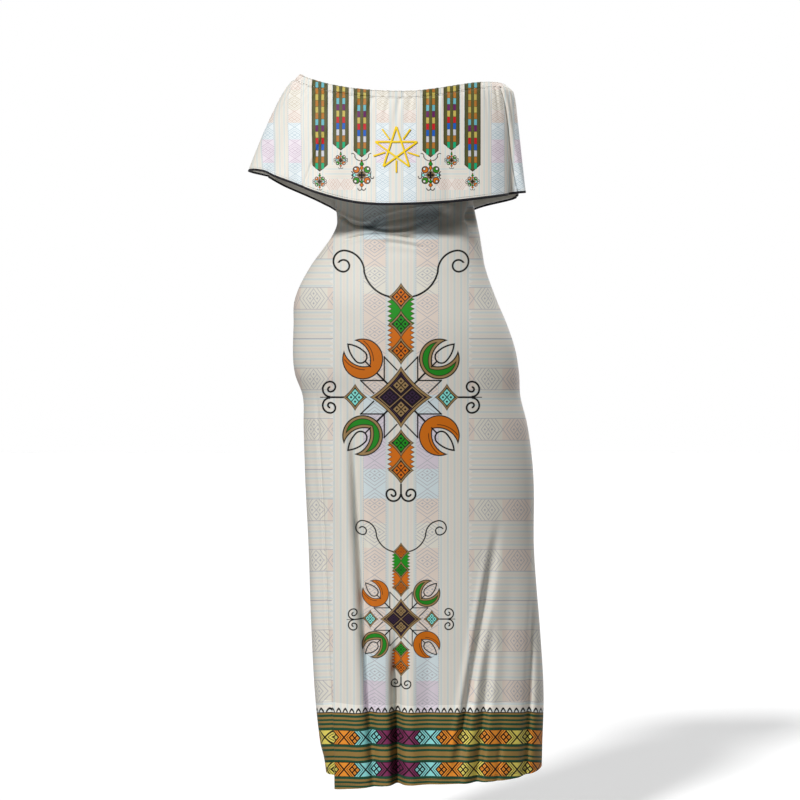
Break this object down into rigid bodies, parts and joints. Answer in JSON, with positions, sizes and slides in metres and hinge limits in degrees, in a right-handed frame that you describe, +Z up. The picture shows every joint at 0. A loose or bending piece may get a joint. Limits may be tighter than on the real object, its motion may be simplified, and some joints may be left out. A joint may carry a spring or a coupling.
{
  "type": "habesha kemis dress",
  "caption": "Ankle-length off-shoulder dress in worn form, with an elastic neckline, a deep edge-bound flounce over the upper arms and a straight skirt.",
  "frame": {"origin": "middle of the neckline opening, where the wearer's upper arms and chest hold the dress up", "axes": "+Z up, +Y towards the back of the dress, +X towards the wearer's left"},
  "size_m": [0.568, 0.3601, 1.36],
  "materials": {
    "printed_cloth": "soft matt knit with printed bands",
    "black_binding": "matt overlocked edge"
  },
  "bodies": {
    "root": {"back_panel": "printed_cloth", "front_panel": "printed_cloth", "flounce_back": "printed_cloth", "flounce_front": "printed_cloth", "binding_back": "black_binding", "binding_front": "black_binding", "neck_casing": "printed_cloth"}
  },
  "joints": []
}
